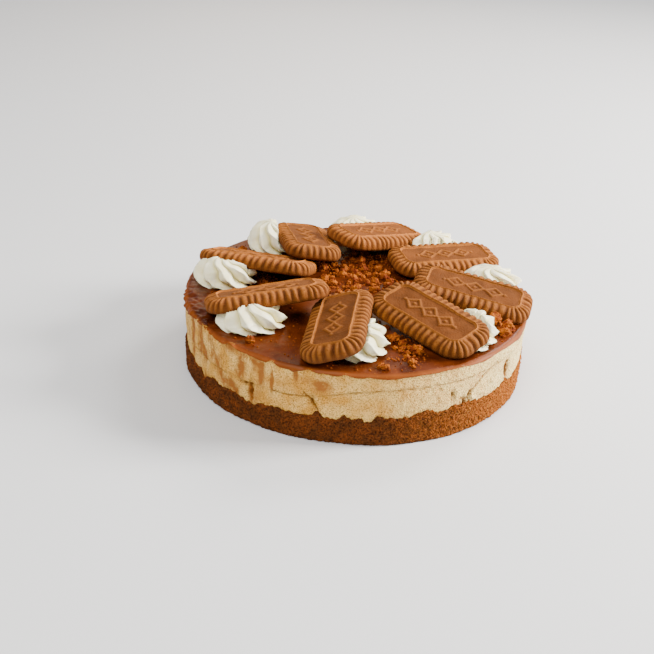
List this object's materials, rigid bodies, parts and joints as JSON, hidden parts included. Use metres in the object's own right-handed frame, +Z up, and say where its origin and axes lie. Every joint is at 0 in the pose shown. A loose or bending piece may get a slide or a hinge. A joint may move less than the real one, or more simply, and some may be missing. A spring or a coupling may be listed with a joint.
{
  "type": "cheesecake",
  "caption": "Round no-bake style cheesecake with crumb base, mousse filling and caramel glaze, topped with scalloped biscuits leaning on piped cream.",
  "frame": {"origin": "centre of the crumb base's underside, at the bottom centre of the whole cake", "axes": "+Z up through the cake; +Y away from the side that the picture shows; +X to the right of it"},
  "size_m": [0.1802, 0.1791, 0.0569],
  "materials": {
    "crumb_base": "rough pressed crumb, dry and matte",
    "mousse": "soft matte, finely pored",
    "caramel_glaze": "smooth set glaze, glossy",
    "spiced_biscuit": "baked, dry and matte with a fine grain",
    "whipped_cream": "smooth piped cream with a soft sheen",
    "biscuit_crumb": "broken biscuit crumb, rough and matte"
  },
  "bodies": {
    "root": {"crust": "crumb_base", "filling": "mousse", "glaze": "caramel_glaze", "biscuit_1": "spiced_biscuit", "biscuit_2": "spiced_biscuit", "biscuit_3": "spiced_biscuit", "biscuit_4": "spiced_biscuit", "biscuit_5": "spiced_biscuit", "biscuit_6": "spiced_biscuit", "biscuit_7": "spiced_biscuit", "biscuit_8": "spiced_biscuit", "cream_1": "whipped_cream", "cream_2": "whipped_cream", "cream_3": "whipped_cream", "cream_4": "whipped_cream", "cream_5": "whipped_cream", "cream_6": "whipped_cream", "cream_7": "whipped_cream", "cream_8": "whipped_cream"}
  },
  "joints": []
}
